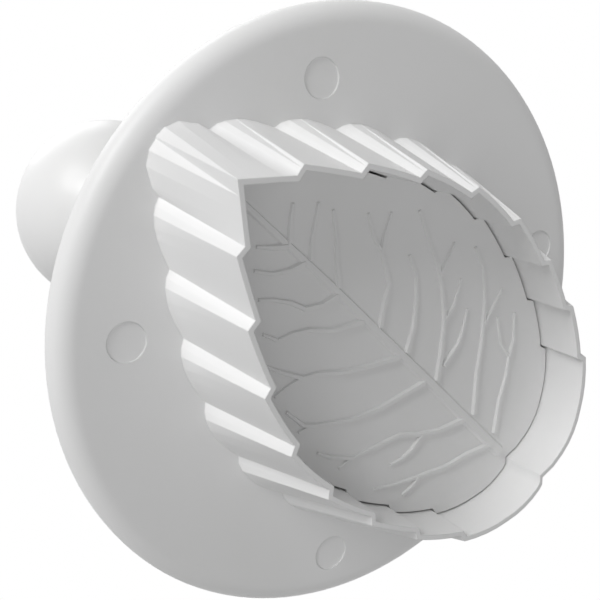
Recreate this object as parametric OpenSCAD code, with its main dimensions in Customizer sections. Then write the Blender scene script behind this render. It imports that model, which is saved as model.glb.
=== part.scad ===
/* [Flange] */
// Radius of the round flange
flange_r = 36; // [35.5:0.5:45]
// Thickness of the flange
flange_t = 2.6; // [2.2:0.1:4]
// Width of the rounded band round the rim
rim_w = 2.4; // [1.5:0.1:2.5]
// Height of the rounded band
rim_h = 1.9; // [1:0.1:2]
// Radius of the moulding marks on the face
mark_r = 2.2; // [1.5:0.1:3]
// Depth of the moulding marks
mark_depth = 0.15; // [0.1:0.05:0.3]
// Distance of the front marks from the axis
front_mark_pitch = 28.3; // [26:0.1:30]
// Distance of the rear marks from the axis
rear_mark_pitch = 30; // [28:0.1:31]
// Angle of the front marks from the leaf's centre line
front_mark_angle = 38; // [35:1:45]
// Angle of the rear marks from the leaf's centre line
rear_mark_angle = 127.6; // [120:0.1:135]

/* [Leaf] */
// Length from the apex to the base lobes
leaf_l = 60.6; // [56:0.1:61]
// Half width at the notches
leaf_half_w = 18.2; // [16:0.1:20]
// Distance from the apex to the widest place
leaf_wide_at = 33.3; // [30:0.1:36]
// Distance from the axis to the apex
apex_x = 29; // [28:0.1:30]
// Distance of the leaf's centre line to the side of the axis
leaf_side = 0.5; // [0:0.1:1]
// Depth of the notch between the base lobes
base_notch = 0.8; // [0.4:0.1:1.5]
// Distance of the base notch to the side of the centre line
base_notch_side = 1.35; // [0:0.05:2]
// Teeth on each side
teeth = 8; // [6:1:8]
// Distance along the edge from the apex to the first notch
first_tooth = 6.5; // [5:0.1:7]
// Distance along the edge from one notch to the next
tooth_pitch = 7.56; // [7:0.01:7.7]
// Height of the first tooth
tooth_h = 1.05; // [0.6:0.05:1.4]
// Height of the last tooth
tooth_h_last = 0.75; // [0.4:0.05:1]
// Lean of a tooth along the edge
tooth_lean = 0.75; // [0.3:0.05:1]

/* [Wall] */
// Height of the cutter wall
wall_h = 10.8; // [9:0.1:14]
// Width of the cutting edge
edge_t = 0.6; // [0.5:0.05:0.9]
// Thickness that the wall gains at its foot, in the grooves
foot_w = 3.4; // [2.5:0.1:3.6]
// Height of the rounded flutes at the foot
flute_h = 0.95; // [0.5:0.05:1.2]
// Share of the foot's width left at the base lobes
foot_fade = 0.52; // [0.4:0.01:0.7]

/* [Embossing plate] */
// Distance of the plate from the cutting edge at rest
recess = 6.05; // [5:0.05:7]
// Thickness of the plate
plate_t = 2; // [1.6:0.1:2.4]
// Clearance between the plate and the wall
plate_gap = 0.25; // [0.2:0.05:0.4]
// Height of the raised veins
vein_h = 0.4; // [0.2:0.05:0.6]
// Width of a side vein where it leaves the midrib
vein_w = 1.1; // [0.8:0.05:1.4]
// Width of the midrib at its thick end
midrib_w = 2.2; // [1.6:0.1:3]
// Radius of the boss behind the plate
boss_r = 6; // [5:0.1:8]

/* [Plunger] */
// Radius of the push rod
rod_r = 3; // [2.5:0.1:3.5]
// Depth of the rod's socket in the knob
socket_depth = 14; // [8:0.5:16]
// Skin left under the rod's socket in the plate
socket_skin = 0.8; // [0.6:0.1:1.2]
// Radius of the knob
knob_r = 16.2; // [15:0.1:18]
// Distance from the flange's face to the knob's centre
knob_height = 74.5; // [70:0.5:80]
// Outer radius of the knob's neck
neck_r = 9.5; // [9:0.1:10]
// Inner radius of the knob's neck
neck_bore_r = 7; // [6.5:0.1:7.4]
// Radius of the hollow between the neck and the knob
neck_fillet = 10; // [6:0.5:12]
// Depth of the bore in the neck
neck_bore_h = 31; // [28:0.5:34]
// Stroke of the plunger
stroke = 7; // [6:0.1:7.5]

/* [Guide sleeve] */
// Height of the sleeve behind the flange
sleeve_h = 28; // [24:0.5:32]
// Wall of the sleeve
sleeve_wall = 2.2; // [1.8:0.1:3]
// Running clearance of the sliding fits
slide_gap = 0.08; // [0.04:0.01:0.1]
// Gap left at each stop
stop_gap = 0.1; // [0.05:0.05:0.3]

/* [Spring] */
// Radius of the spring's wire
wire_r = 0.5; // [0.4:0.05:0.6]
// Radius of the coil at the middle of the wire
coil_r = 5; // [4.8:0.1:5.5]
// Number of turns
turns = 11; // [8:1:12]

/* [Hidden] */
$fn = 96;

curve_steps = 24;
wide_handle_front = 13.5;
wide_handle_rear = 11.7;
apex_handle = [9.9, 8.55];
lobe_half = 2.7;
lobe_handle = 10.35;
groove_back = 3.8;
nose_angles = [160, 140];
flute_steps = [0, 0.1, 0.22, 0.4, 0.55, 0.72, 0.87];
flute_skew = 0.756;
fade_from = 36;
short_side_steps = 3;
long_side_steps = 4;

back_z = wall_h + flange_t;
sleeve_r = neck_r + slide_gap + sleeve_wall;
knob_z = wall_h + knob_height;
neck_bottom = back_z + stroke + 1;
ceiling_z = neck_bottom + neck_bore_h;
boss_top = wall_h - stop_gap;
plate_back = recess + plate_t;
rod_bottom = recess + socket_skin;
rod_top = ceiling_z + socket_depth;
spring_bottom = back_z;
spring_top = ceiling_z;

function bezier(a, b, c, d, t) =
    pow(1 - t, 3) * a + 3 * pow(1 - t, 2) * t * b + 3 * (1 - t) * t * t * c + t * t * t * d;

// The line through the notches, from the apex to one lobe of the base
widest = [leaf_wide_at, leaf_half_w];
lobe_end = [leaf_l, lobe_half];
curve = [
    for (i = [0:curve_steps])
        bezier([0, 0], apex_handle, widest - [wide_handle_front, 0], widest, i / curve_steps),
    for (i = [1:curve_steps])
        bezier(widest, widest + [wide_handle_rear, 0], lobe_end + [0, lobe_handle], lobe_end,
            i / curve_steps)
];
function run_to(i) = i == 0 ? 0 : run_to(i - 1) + norm(curve[i] - curve[i - 1]);
runs = [for (i = [0:len(curve) - 1]) run_to(i)];
curve_l = runs[len(runs) - 1];
x_along = [for (i = [0:len(curve) - 1]) [runs[i], curve[i][0]]];
y_along = [for (i = [0:len(curve) - 1]) [runs[i], curve[i][1]]];
function on_curve(s) = [lookup(s, x_along), lookup(s, y_along)];
function heading(s) = let (v = on_curve(s + 0.3) - on_curve(s - 0.3)) v / norm(v);
function outward(s) = let (v = heading(s)) [-v[1], v[0]];
function beside(s, off) = on_curve(s) + outward(s) * off;
function mix(a, b, t) = a + (b - a) * t;

// The teeth of the cutting edge; an inset moves every side inwards by the same amount
function notch_s(k) = first_tooth + k * tooth_pitch;
function height_of(k) = mix(tooth_h, tooth_h_last, k / (teeth - 1));
function corner_shift(k) = let (
    a = atan2(height_of(k), tooth_pitch - tooth_lean),
    b = atan2(height_of(k), tooth_lean)
) [sin(b) - sin(a), -cos(a) - cos(b)] / (1 + cos(a + b));
function edge_tooth(k, inset) = let (
    shift = inset * corner_shift(k),
    start = beside(notch_s(k) + shift[0], shift[1]),
    tip_s = notch_s(k) + tooth_lean,
    tip = beside(tip_s + shift[0], height_of(k) + shift[1])
) [
    for (j = [0:short_side_steps - 1]) mix(start, tip, j / short_side_steps),
    for (j = [0:long_side_steps - 1]) let (t = j / long_side_steps)
        beside(mix(tip_s, notch_s(k + 1), t) + shift[0], height_of(k) * (1 - t) + shift[1])
];
apex_angle = atan2(apex_handle[1], apex_handle[0]);
edge_notch = [leaf_l - base_notch, -base_notch_side];
function turn_in(lobe, notch, side) =
    mix(lobe, [notch[0], side * notch[1]], 0.5) + [base_notch / 3, 0];
function edge_half(side, inset) = [
    for (j = [1:3]) beside(first_tooth * j / 4, -inset),
    for (k = [0:teeth - 1]) each edge_tooth(k, inset),
    for (j = [0:4]) beside(mix(notch_s(teeth), curve_l, j / 4), -inset),
    turn_in(lobe_end, edge_notch, side) - [inset, 0]
];

// The rounded flutes where the wall meets the flange
function fade(s) = let (t = max(0, min(1, (s - fade_from) / (curve_l - fade_from))))
    mix(1, foot_fade, t * t * (3 - 2 * t));
function flute(g) = sin(180 * pow(g, flute_skew));
function groove_s(k) = notch_s(k) - groove_back;
function foot_tooth(k) = [
    for (g = flute_steps) let (s = groove_s(k) + g * tooth_pitch)
        beside(s, (foot_w + flute_h * flute(g)) * fade(s))
];
nose_r = foot_w + flute_h;
foot_lobe = lobe_end + [foot_w * foot_fade, 0];
foot_notch = edge_notch + [foot_w * foot_fade, 0];
function foot_half(side) = [
    for (a = nose_angles) nose_r * [cos(a), sin(a)],
    beside(groove_s(0) / 2, nose_r - flute_h / 3),
    for (k = [0:teeth - 1]) each foot_tooth(k),
    for (j = [0:4]) let (s = mix(groove_s(teeth), curve_l, j / 4)) beside(s, foot_w * fade(s)),
    turn_in(foot_lobe, foot_notch, side)
];

function place(p, side) = [apex_x - p[0], leaf_side + side * p[1]];
function backwards(list) = [for (i = [len(list) - 1:-1:0]) list[i]];
function ring(apex, right, notch, left) = [
    place(apex, 1),
    for (p = right) place(p, 1),
    place(notch, 1),
    for (p = backwards(left)) place(p, -1)
];
function leaf_ring(inset) = ring(
    [inset / sin(apex_angle), 0],
    edge_half(1, inset),
    edge_notch - [inset, 0],
    edge_half(-1, inset)
);
edge_ring = leaf_ring(0);
foot_ring = ring([-nose_r, 0], foot_half(1), foot_notch, foot_half(-1));
function lift(points, z) = [for (p = points) [p[0], p[1], z]];

// Solid between two rings round the axis, with as many points in each, the lower one first
module loft(low, high) {
    n = len(low);
    polyhedron(
        points = [each low, each high, [0, 0, low[0][2]], [0, 0, high[0][2]]],
        faces = [
            for (i = [0:n - 1]) let (j = (i + 1) % n) each [
                [2 * n, i, j],
                [i, i + n, j + n],
                [i, j + n, j],
                [2 * n + 1, j + n, i + n]
            ]
        ],
        convexity = 10
    );
}

module leaf_wall() {
    foot_sink = flange_t / 2;
    reach = 1 + foot_sink / wall_h;
    sunk_ring = [for (i = [0:len(foot_ring) - 1]) mix(edge_ring[i], foot_ring[i], reach)];
    loft(lift(edge_ring, 0), lift(sunk_ring, wall_h + foot_sink));
}

module flange() {
    rotate_extrude()
        polygon([
            [0, wall_h],
            for (i = [0:8]) let (a = i * 90 / 8)
                [flange_r - rim_w + rim_w * sin(a), wall_h + rim_h - rim_h * cos(a)],
            [flange_r, back_z],
            [0, back_z]
        ]);
}

module guide_sleeve() {
    chamfer = sleeve_wall / 4;
    foot = sleeve_wall / 2;
    rotate_extrude()
        polygon([
            [0, back_z - flange_t / 2],
            [sleeve_r + foot, back_z - flange_t / 2],
            [sleeve_r + foot, back_z],
            for (i = [0:4]) let (a = i * 90 / 4)
                [sleeve_r + foot - foot * sin(a), back_z + foot - foot * cos(a)],
            [sleeve_r, back_z + sleeve_h - chamfer],
            [sleeve_r - chamfer, back_z + sleeve_h],
            [0, back_z + sleeve_h]
        ]);
}

module marks() {
    for (side = [-1, 1]) {
        for (m = [[front_mark_pitch, front_mark_angle], [rear_mark_pitch, rear_mark_angle]]) {
            rotate([0, 0, side * m[1]])
                translate([m[0], 0, wall_h - 1])
                    cylinder(r = mark_r, h = 1 + mark_depth, $fn = 48);
        }
    }
}

module cutter_body() {
    color("white")
        difference() {
            union() {
                flange();
                leaf_wall();
                guide_sleeve();
            }
            translate([0, 0, -1])
                linear_extrude(wall_h + 1)
                    polygon(leaf_ring(edge_t));
            cylinder(r = rod_r + slide_gap, h = back_z + 1);
            translate([0, 0, back_z])
                cylinder(r = neck_r + slide_gap, h = sleeve_h + 1);
            marks();
        }
}

// Routes of the veins from the apex, chosen by eye, each with its width and its end width
midrib_route = [[3.5, 0], [20, -0.2], [40, -0.8], [57.2, -1.4]];
side_veins = [
    [[12.5, 0.2], [11, 2], [10, 3.5]],
    [[16, 0.4], [14.5, 2], [12.5, 5.5]],
    [[21, 0.2], [19, 2], [17, 4], [14.5, 6]],
    [[29, 0], [27.5, 2.5], [26.5, 4.5], [23, 6.5], [21, 7], [18.5, 8.5]],
    [[34.5, 0], [33, 3], [31, 5.5], [29, 7.5], [26.5, 8.5]],
    [[41, 0], [38.5, 3.5], [36.5, 6], [33.5, 8.5], [31, 10], [27.5, 11.5], [24, 13]],
    [[49.5, 0], [46, 4], [43.5, 7.5], [40, 11.5], [37, 14], [34, 15]],
    [[54.5, 0], [52, 3.5], [50.5, 6.5], [49, 8.5], [46.5, 9], [43.5, 11]],
    [[12.5, -0.3], [11, -1.5], [9.5, -2.5]],
    [[15.5, -0.3], [14.5, -2], [13, -3.5], [11, -4.5]],
    [[21.5, -0.5], [20.5, -2.5], [19, -4], [17, -4.5], [15, -5.5], [13.5, -6.5]],
    [[26.5, -0.8], [23.5, -4], [21, -5.5], [19.5, -7], [18.5, -8.5], [16.5, -9]],
    [[34, -1], [31, -4], [28.5, -6.5], [25.5, -8.5], [24, -10], [23, -12], [22.5, -13.5]],
    [[39.5, -1.2], [37.5, -4.5], [36, -7], [33.5, -10], [31, -12], [29, -13.5], [28, -15]],
    [[48.5, -1.4], [46, -4.5], [43.5, -6.5], [41, -8], [39.5, -10], [38, -12], [36.5, -14], [36, -15.5]],
    [[55, -1.6], [52.5, -4.5], [50.5, -7.5], [48.5, -9.5], [47, -11], [45, -13], [42.5, -15]]
];
forks = [
    [[23, 6.6], [22, 8], [21, 10.5]],
    [[40.5, 1.8], [40.5, 5], [40, 6.5], [38.5, 9]],
    [[36.5, 6], [36.5, 8], [35, 11]],
    [[32, 9.3], [31.5, 11.5], [31, 13.5]],
    [[42.2, 9], [42, 11], [41.5, 14]],
    [[49, 8.5], [48, 10.5], [45.5, 13]],
    [[24, -10], [22.5, -10.5], [21, -11], [19, -11.5]],
    [[29.3, -13.3], [28, -14], [26, -14], [25, -14]],
    [[37, -13.5], [34, -15], [32, -15.5]],
    [[44, -6.2], [44, -8.5], [43.5, -10], [42.5, -11.5]],
    [[47.5, -10.5], [47.5, -12], [47, -13.5]]
];

// A vein with sloping sides that tapers along its route and sinks into the plate
vein_sink = 0.3;
function across(route, i) = let (
    a = route[max(i - 1, 0)],
    b = route[min(i + 1, len(route) - 1)],
    v = (b - a) / norm(b - a)
) [-v[1], v[0]];
module vein(route, w_start, w_end) {
    last = len(route) - 1;
    crest = 0.45;
    points = [
        for (i = [0:last]) let (
            w = mix(w_start, w_end, i / last) / 2,
            n = across(route, i),
            h = vein_h * mix(1, 0.6, i / last)
        ) each [
            for (q = [[1, -vein_sink], [crest, h], [-crest, h], [-1, -vein_sink]])
                let (p = place(route[i] + n * w * q[0], 1)) [p[0], p[1], recess - q[1]]
        ]
    ];
    polyhedron(
        points = points,
        faces = [
            [0, 1, 2, 3],
            for (i = [0:last - 1], j = [0:3]) let (a = 4 * i + j, b = 4 * i + (j + 1) % 4)
                each [[a, a + 4, b + 4], [a, b + 4, b]],
            [for (j = [3:-1:0]) 4 * last + j]
        ]
    );
}

module plate_outline() {
    polygon(leaf_ring(edge_t + plate_gap));
}

module emboss_plate() {
    end_share = 0.5;
    color("white")
        difference() {
            union() {
                translate([0, 0, recess])
                    linear_extrude(plate_t) plate_outline();
                translate([0, 0, recess + plate_t / 2])
                    cylinder(r = boss_r, h = boss_top - recess - plate_t / 2);
                vein(backwards(midrib_route), midrib_w, vein_w);
                for (route = side_veins)
                    vein(route, vein_w, vein_w * end_share);
                for (route = forks)
                    vein(route, vein_w * 0.8, vein_w * end_share);
            }
            translate([0, 0, rod_bottom])
                cylinder(r = rod_r, h = wall_h);
        }
}

module push_rod() {
    color("white")
        translate([0, 0, rod_bottom])
            cylinder(r = rod_r, h = rod_top - rod_bottom);
}

module knob() {
    hollow_r = neck_r + neck_fillet;
    drop = sqrt(pow(knob_r + neck_fillet, 2) - pow(hollow_r, 2));
    meet = atan2(drop, hollow_r);
    color("white")
        rotate_extrude()
            polygon([
                [neck_bore_r, neck_bottom],
                [neck_r, neck_bottom],
                for (i = [0:8]) let (a = 180 - i * (180 - (180 - meet)) / 8)
                    [hollow_r + neck_fillet * cos(a), knob_z - drop + neck_fillet * sin(a)],
                for (i = [1:24]) let (a = mix(-meet, 90, i / 24))
                    [knob_r * cos(a), knob_z + knob_r * sin(a)],
                [0, rod_top],
                [rod_r, rod_top],
                [rod_r, ceiling_z],
                [neck_bore_r, ceiling_z]
            ]);
}

// One unbroken wire: a straight end, the turns, and a straight end
rings_per_turn = 8;
wire_sides = 6;
end_run = 2 * wire_r;
coil_rings = turns * rings_per_turn;
coil_low = spring_bottom + end_run;
coil_high = spring_top - end_run;
rise = (coil_high - coil_low) / turns;
function wire_at(i) = let (a = 360 * i / rings_per_turn)
    [coil_r * cos(a), coil_r * sin(a), mix(coil_low, coil_high, i / coil_rings)];
wire_line = [
    [coil_r, 0, spring_bottom],
    for (i = [0:coil_rings]) wire_at(i),
    wire_at(coil_rings) + [0, 0, end_run]
];
function wire_ring(i) = let (
    c = wire_line[i],
    last = len(wire_line) - 1,
    a = i == 0 ? 0 : 360 * (i - 1) / rings_per_turn,
    side = [cos(a), sin(a), 0],
    turn = i == 0 || i == last ? 90 : i == 1 || i == last - 1 ? 45 : atan2(rise, 360 * coil_r / 57.3),
    up = [-sin(a) * sin(turn), cos(a) * sin(turn), -cos(turn)]
) [for (j = [0:wire_sides - 1]) let (b = 360 * j / wire_sides)
    c + wire_r * (cos(b) * side + sin(b) * up)];
module return_spring() {
    n = wire_sides;
    rings = [for (i = [0:len(wire_line) - 1]) wire_ring(i)];
    last = len(rings) - 1;
    color("silver")
        polyhedron(
            points = [for (r = rings) each r],
            faces = [
                [for (j = [0:n - 1]) j],
                for (i = [0:last - 1], j = [0:n - 1]) let (a = i * n + j, b = i * n + (j + 1) % n)
                    each [[a, a + n, b + n], [a, b + n, b]],
                [for (j = [n - 1:-1:0]) last * n + j]
            ]
        );
}
least_gap = min([
    for (i = [1:len(wire_line) - 2], j = [i + rings_per_turn - 2:len(wire_line) - 2])
        norm(wire_line[i] - wire_line[j])
]) - 2 * wire_r;
echo(least_gap_of_the_spring = least_gap);

cutter_body();
emboss_plate();
push_rod();
knob();
return_spring();
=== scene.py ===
import bpy
from mathutils import Matrix, Vector

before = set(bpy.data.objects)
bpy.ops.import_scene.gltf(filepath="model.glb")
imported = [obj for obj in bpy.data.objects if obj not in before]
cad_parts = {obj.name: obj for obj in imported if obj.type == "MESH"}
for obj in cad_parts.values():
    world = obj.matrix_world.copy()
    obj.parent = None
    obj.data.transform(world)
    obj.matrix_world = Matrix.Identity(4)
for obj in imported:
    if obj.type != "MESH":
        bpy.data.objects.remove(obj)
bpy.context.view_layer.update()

# Camera of the photograph: it looks up at the cutting edge from below the apex
CAMERA_AT = Vector((0.0718, -0.01802, -0.08029))
CAMERA_FORWARD = Vector((-0.56908, 0.13990, 0.81029))
CAMERA_UP = Vector((0.54081, 0.80599, 0.24066))
CAMERA_LENS = 60.0
SENSOR = 36.0
CLIP_START = 0.005

# Lamps: the direction that each shines from, its strength, and its width in radians
LAMPS = {
    "key_lamp": (Vector((0.95, 0.05, -0.12)), 2.1, 0.5),
    "fill_lamp": (Vector((0.10, -0.60, -0.80)), 0.40, 1.0),
    "top_lamp": (Vector((0.30, 0.35, 0.90)), 0.6, 0.7),
}
AMBIENT = 0.28
BACKGROUND = 1.0

# Floor: its size, its height, and how much it glows so that it stays white
FLOOR_SIZE = 3.0
FLOOR_Z = -0.0001
FLOOR_TONE = 0.93
FLOOR_GLOW = 0.55

# Smoothing: the sharpest edge shaded smooth, in radians, and the welding distance
SMOOTH_ANGLE = 0.62
WELD_DISTANCE = 0.000002

# Noise textures: scale and detail
NOISE_LOW = 0.3
NOISE_HIGH = 0.7
PLASTIC_CLOUD = (60.0, 4.0)
PLASTIC_GRAIN = (2600.0, 3.0)
PLASTIC_SCUFF = (340.0, 8.0)
STEEL_STAIN = (500.0, 6.0)
STEEL_LINES = (4200.0, 2.0)

# Plastic: share of the tone left in the darker clouds, spread of the roughness, grain
CLOUD_SHARE = 0.975
CLOUD_SHARE_BLUE = 0.97
GLOSSIER = 0.05
DULLER = 0.07
EDGE_SOFTNESS = 0.00018
PLATE_SOFTNESS = 0.00008
BEVEL_SAMPLES = 6
GRAIN_STRENGTH = 0.06
GRAIN_DEPTH = 0.00005
PLASTIC_IOR = 1.46
PLASTIC_SPECULAR = 0.4

# Steel: colours of stain and wire, roughness from low to high, drawing lines
STAIN_COLOUR = (0.45, 0.44, 0.43, 1)
WIRE_COLOUR = (0.66, 0.66, 0.67, 1)
STEEL_GLOSS = (0.22, 0.4)
LINES_STRENGTH = 0.15
LINES_DEPTH = 0.00003


def new_material(name):
    """Empty node material with its output."""
    material = bpy.data.materials.new(name)
    material.use_nodes = True
    nodes = material.node_tree.nodes
    nodes.clear()
    output = nodes.new("ShaderNodeOutputMaterial")
    return material, nodes, material.node_tree.links, output


def noise(nodes, links, coordinates, scale_and_detail):
    """Noise texture fixed to the object."""
    texture = nodes.new("ShaderNodeTexNoise")
    texture.inputs["Scale"].default_value, texture.inputs["Detail"].default_value = scale_and_detail
    links.new(coordinates.outputs["Object"], texture.inputs["Vector"])
    return texture


def spread(nodes, links, source, low, high):
    """The middle of a noise spread over low to high."""
    span = nodes.new("ShaderNodeMapRange")
    span.inputs["From Min"].default_value = NOISE_LOW
    span.inputs["From Max"].default_value = NOISE_HIGH
    span.inputs["To Min"].default_value = low
    span.inputs["To Max"].default_value = high
    links.new(source.outputs["Fac"], span.inputs["Value"])
    return span


def tinted(nodes, links, shader, source, first, second):
    """Base colour that varies between two colours with a noise."""
    shade = nodes.new("ShaderNodeMix")
    shade.data_type = "RGBA"
    shade.inputs["A"].default_value = first
    shade.inputs["B"].default_value = second
    share = spread(nodes, links, source, 0.0, 1.0)
    links.new(share.outputs["Result"], shade.inputs["Factor"])
    links.new(shade.outputs["Result"], shader.inputs["Base Color"])


def bumped(nodes, links, shader, height, strength, distance):
    """Bump from a noise on the shader's normal."""
    bump = nodes.new("ShaderNodeBump")
    bump.inputs["Strength"].default_value = strength
    bump.inputs["Distance"].default_value = distance
    links.new(height.outputs["Fac"], bump.inputs["Height"])
    links.new(bump.outputs["Normal"], shader.inputs["Normal"])
    return bump


def moulded_plastic(name, tone, roughness, softness=EDGE_SOFTNESS):
    """White moulded plastic with faint mottling, fine grain and softened edges."""
    material, nodes, links, output = new_material(name)
    shader = nodes.new("ShaderNodeBsdfPrincipled")
    shader.inputs["IOR"].default_value = PLASTIC_IOR
    shader.inputs["Specular IOR Level"].default_value = PLASTIC_SPECULAR
    coordinates = nodes.new("ShaderNodeTexCoord")
    cloud = noise(nodes, links, coordinates, PLASTIC_CLOUD)
    grain = noise(nodes, links, coordinates, PLASTIC_GRAIN)
    scuff = noise(nodes, links, coordinates, PLASTIC_SCUFF)

    darker = (tone * CLOUD_SHARE, tone * CLOUD_SHARE, tone * CLOUD_SHARE_BLUE, 1)
    tinted(nodes, links, shader, cloud, darker, (tone, tone, tone, 1))
    gloss = spread(nodes, links, scuff, roughness - GLOSSIER, roughness + DULLER)
    links.new(gloss.outputs["Result"], shader.inputs["Roughness"])

    bevel = nodes.new("ShaderNodeBevel")
    bevel.samples = BEVEL_SAMPLES
    bevel.inputs["Radius"].default_value = softness
    bump = bumped(nodes, links, shader, grain, GRAIN_STRENGTH, GRAIN_DEPTH)
    links.new(bevel.outputs["Normal"], bump.inputs["Normal"])
    links.new(shader.outputs["BSDF"], output.inputs["Surface"])
    return material


def drawn_steel(name):
    """Spring wire with drawing lines and slight stains."""
    material, nodes, links, output = new_material(name)
    shader = nodes.new("ShaderNodeBsdfPrincipled")
    shader.inputs["Metallic"].default_value = 1.0
    coordinates = nodes.new("ShaderNodeTexCoord")
    stain = noise(nodes, links, coordinates, STEEL_STAIN)
    lines = noise(nodes, links, coordinates, STEEL_LINES)
    tinted(nodes, links, shader, stain, STAIN_COLOUR, WIRE_COLOUR)
    gloss = spread(nodes, links, stain, *STEEL_GLOSS)
    links.new(gloss.outputs["Result"], shader.inputs["Roughness"])
    bumped(nodes, links, shader, lines, LINES_STRENGTH, LINES_DEPTH)
    links.new(shader.outputs["BSDF"], output.inputs["Surface"])
    return material


def smoothing():
    """Node group that welds a mesh and shades it smooth across gentle edges."""
    group = bpy.data.node_groups.new("smooth_gentle_edges", "GeometryNodeTree")
    group.interface.new_socket("Geometry", in_out="INPUT", socket_type="NodeSocketGeometry")
    group.interface.new_socket("Geometry", in_out="OUTPUT", socket_type="NodeSocketGeometry")
    nodes, links = group.nodes, group.links
    start = nodes.new("NodeGroupInput")
    end = nodes.new("NodeGroupOutput")
    clear = nodes.new("GeometryNodeRemoveAttribute")
    clear.inputs["Name"].default_value = "custom_normal"
    weld = nodes.new("GeometryNodeMergeByDistance")
    weld.inputs["Distance"].default_value = WELD_DISTANCE
    angle = nodes.new("GeometryNodeInputMeshEdgeAngle")
    gentle = nodes.new("FunctionNodeCompare")
    gentle.operation = "LESS_THAN"
    gentle.inputs["B"].default_value = SMOOTH_ANGLE
    faces = nodes.new("GeometryNodeSetShadeSmooth")
    faces.domain = "FACE"
    edges = nodes.new("GeometryNodeSetShadeSmooth")
    edges.domain = "EDGE"
    links.new(start.outputs[0], clear.inputs["Geometry"])
    links.new(clear.outputs["Geometry"], weld.inputs["Geometry"])
    links.new(weld.outputs["Geometry"], faces.inputs["Geometry"])
    links.new(faces.outputs["Geometry"], edges.inputs["Geometry"])
    links.new(angle.outputs["Unsigned Angle"], gentle.inputs["A"])
    links.new(gentle.outputs["Result"], edges.inputs["Shade Smooth"])
    links.new(edges.outputs["Geometry"], end.inputs[0])
    return group


def dress(node, material, group):
    """Puts a material and the smoothing on a piece of the frame."""
    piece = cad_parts[node]
    for entry in piece.material_slots:
        entry.material = material
    modifier = piece.modifiers.new("smooth", "NODES")
    modifier.node_group = group


def make_camera():
    """Camera with the place, the turn and the lens of the photograph."""
    data = bpy.data.cameras.new("camera")
    data.lens = CAMERA_LENS
    data.sensor_width = SENSOR
    data.clip_start = CLIP_START
    camera = bpy.data.objects.new("camera", data)
    bpy.context.collection.objects.link(camera)
    back = -CAMERA_FORWARD.normalized()
    right = CAMERA_UP.cross(back).normalized()
    up = back.cross(right)
    turn = Matrix((right, up, back)).transposed().to_4x4()
    camera.matrix_world = Matrix.Translation(CAMERA_AT) @ turn
    bpy.context.scene.camera = camera


def make_lamps():
    """Wide, level lamps."""
    for name, (source, strength, width) in LAMPS.items():
        data = bpy.data.lights.new(name, "SUN")
        data.energy = strength
        data.angle = width
        lamp = bpy.data.objects.new(name, data)
        lamp.rotation_mode = "QUATERNION"
        lamp.rotation_quaternion = source.to_track_quat("Z", "Y")
        bpy.context.collection.objects.link(lamp)


def seen_directly(nodes, links):
    """1 for camera, glossy and transmission rays, 0 for the rays that light the object."""
    path = nodes.new("ShaderNodeLightPath")
    first = nodes.new("ShaderNodeMath")
    first.operation = "ADD"
    links.new(path.outputs["Is Camera Ray"], first.inputs[0])
    links.new(path.outputs["Is Glossy Ray"], first.inputs[1])
    both = nodes.new("ShaderNodeMath")
    both.operation = "ADD"
    both.use_clamp = True
    links.new(first.outputs[0], both.inputs[0])
    links.new(path.outputs["Is Transmission Ray"], both.inputs[1])
    return both


def make_world():
    """White background that lights the object only softly."""
    world = bpy.data.worlds.new("studio")
    world.use_nodes = True
    bpy.context.scene.world = world
    nodes, links = world.node_tree.nodes, world.node_tree.links
    nodes.clear()
    output = nodes.new("ShaderNodeOutputWorld")
    shine = nodes.new("ShaderNodeBackground")
    shine.inputs["Color"].default_value = (1, 1, 1, 1)
    seen = seen_directly(nodes, links)
    level = nodes.new("ShaderNodeMapRange")
    level.inputs["To Min"].default_value = AMBIENT
    level.inputs["To Max"].default_value = BACKGROUND
    links.new(seen.outputs[0], level.inputs["Value"])
    links.new(level.outputs["Result"], shine.inputs["Strength"])
    links.new(shine.outputs["Background"], output.inputs["Surface"])


def make_floor():
    """A white floor at the cutting edge, seen only from above: the photograph's camera is below it."""
    material, nodes, links, output = new_material("floor_paper")
    paper = nodes.new("ShaderNodeBsdfDiffuse")
    paper.inputs["Color"].default_value = (FLOOR_TONE, FLOOR_TONE, FLOOR_TONE, 1)
    glow = nodes.new("ShaderNodeEmission")
    glow.inputs["Strength"].default_value = FLOOR_GLOW
    bright = nodes.new("ShaderNodeAddShader")
    links.new(paper.outputs["BSDF"], bright.inputs[0])
    links.new(glow.outputs["Emission"], bright.inputs[1])
    clear = nodes.new("ShaderNodeBsdfTransparent")
    face = nodes.new("ShaderNodeNewGeometry")
    pick = nodes.new("ShaderNodeMixShader")
    links.new(face.outputs["Backfacing"], pick.inputs["Fac"])
    links.new(bright.outputs["Shader"], pick.inputs[1])
    links.new(clear.outputs["BSDF"], pick.inputs[2])
    links.new(pick.outputs["Shader"], output.inputs["Surface"])
    bpy.ops.mesh.primitive_plane_add(size=FLOOR_SIZE, location=(0, 0, FLOOR_Z))
    floor = bpy.context.object
    floor.name = "floor"
    floor.data.materials.append(material)
    floor.visible_shadow = False
    floor.visible_diffuse = False


make_camera()
make_lamps()
make_world()
make_floor()

smooth = smoothing()
dress("cutter_body", moulded_plastic("body_plastic", 0.86, 0.42), smooth)
dress("emboss_plate", moulded_plastic("plate_plastic", 0.83, 0.45, PLATE_SOFTNESS), smooth)
dress("push_rod", moulded_plastic("rod_plastic", 0.85, 0.42), smooth)
dress("knob", moulded_plastic("knob_plastic", 0.87, 0.34), smooth)
dress("return_spring", drawn_steel("spring_steel"), smooth)

bpy.context.scene.view_settings.view_transform = "Standard"
